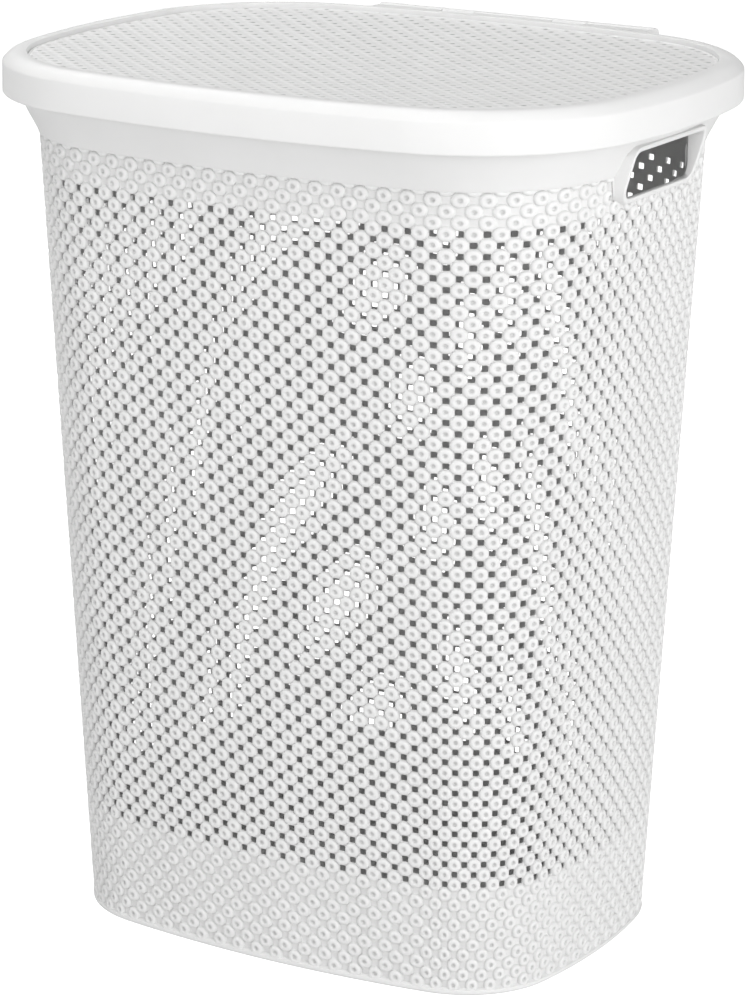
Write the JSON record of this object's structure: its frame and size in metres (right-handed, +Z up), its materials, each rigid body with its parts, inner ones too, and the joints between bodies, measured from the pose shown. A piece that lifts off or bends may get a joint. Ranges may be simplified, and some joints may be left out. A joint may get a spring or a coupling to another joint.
{
  "type": "laundry hamper with hinged lid",
  "caption": "Tall white moulded laundry hamper with ventilated tapered walls, a flared neck, side hand holes and a lid hinged at the back.",
  "frame": {"origin": "middle of the floor's underside, where the hamper stands", "axes": "+Z up, -Y the front, +X the right hand hole seen from the front; the lid's hinge is at +Y, along X"},
  "size_m": [0.4524, 0.375, 0.5738],
  "materials": {
    "basket_plastic": "satin white",
    "lid_plastic": "satin white",
    "hinge_plastic": "satin white"
  },
  "bodies": {
    "basket": {"basket_wall": "basket_plastic", "basket_floor": "basket_plastic", "neck_collar": "basket_plastic", "handle_frame_right": "basket_plastic", "handle_frame_left": "basket_plastic", "basket_knuckle_left": "hinge_plastic", "basket_knuckle_right": "hinge_plastic", "hinge_rod": "hinge_plastic"},
    "lid": {"lid_rim": "lid_plastic", "lid_panel": "lid_plastic", "lid_knuckle_left": "hinge_plastic", "lid_knuckle_center": "hinge_plastic", "lid_knuckle_right": "hinge_plastic"}
  },
  "joints": [
    {"name": "lid_hinge", "type": "hinge", "parent": "basket", "child": "lid", "pos_m": [0, 0.1875, 0.5662], "axis": [-1, 0, 0], "range_deg": [0, 105]}
  ]
}
